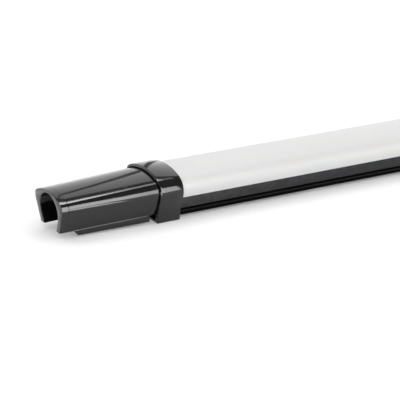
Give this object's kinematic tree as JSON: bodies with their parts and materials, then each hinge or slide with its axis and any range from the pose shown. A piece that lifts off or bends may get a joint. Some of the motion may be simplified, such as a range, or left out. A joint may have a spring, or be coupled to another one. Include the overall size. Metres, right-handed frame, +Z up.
{
  "type": "led strip batten",
  "caption": "Linkable LED batten: opal domed diffuser on a black extrusion, gloss collars and pull-off connector hoods at both ends, sliding spring clips underneath.",
  "frame": {"origin": "middle of the batten's length and width, on the plane that its collars and clips stand on", "axes": "+X along the batten towards the outlet end, +Z up through the diffuser, +Y across"},
  "size_m": [0.777, 0.0602, 0.0404],
  "materials": {
    "extrusion": "black anodised, satin",
    "opal": "opal polycarbonate, satin",
    "gloss_black": "black moulded plastic, glossy",
    "gasket": "grey silicone",
    "seal": "red silicone",
    "screws": "zinc-plated steel",
    "nut": "nickel-plated brass",
    "connector": "black nylon",
    "contacts": "gold-flashed brass",
    "lead_insulation": "pvc insulation",
    "terminal": "white nylon",
    "board": "white solder mask on aluminium",
    "led": "phosphor in a white package",
    "chip": "black epoxy",
    "fuse": "moulded fuse",
    "varistor": "blue epoxy coating",
    "clip_steel": "bright stainless sheet"
  },
  "bodies": {
    "batten": {"base_extrusion": "extrusion", "diffuser": "opal", "near_end_cap": "gloss_black", "far_end_cap": "gloss_black", "near_gasket": "gasket", "far_gasket": "gasket", "inlet_seal": "seal", "outlet_seal": "seal", "near_cap_screws": "screws", "far_cap_screws": "screws", "board_screws": "screws", "inlet_nut": "nut", "outlet_nut": "nut", "inlet_shell": "connector", "outlet_shell": "connector", "inlet_pins": "contacts", "outlet_sleeves": "contacts", "near_leads": "lead_insulation", "far_leads": "lead_insulation", "near_terminal": "terminal", "far_terminal": "terminal", "led_board_1": "board", "led_board_2": "board", "led_board_3": "board", "leds_1": "led", "leds_2": "led", "leds_3": "led", "board_links": "terminal", "driver_chips": "chip", "rectifier": "chip", "fuse": "fuse", "varistor": "varistor"},
    "near_hood": {"near_hood": "gloss_black"},
    "far_hood": {"far_hood": "gloss_black"},
    "clip_a": {"clip_a": "clip_steel"},
    "clip_b": {"clip_b": "clip_steel"}
  },
  "joints": [
    {"name": "near_hood_pull", "type": "slide", "parent": "batten", "child": "near_hood", "axis": [-1, 0, 0], "range_m": [0, 0.11]},
    {"name": "far_hood_pull", "type": "slide", "parent": "batten", "child": "far_hood", "axis": [1, 0, 0], "range_m": [0, 0.11]},
    {"name": "clip_a_slide", "type": "slide", "parent": "batten", "child": "clip_a", "axis": [1, 0, 0], "range_m": [-0.125, 0.135]},
    {"name": "clip_b_slide", "type": "slide", "parent": "batten", "child": "clip_b", "axis": [1, 0, 0], "range_m": [-0.135, 0.125]}
  ]
}
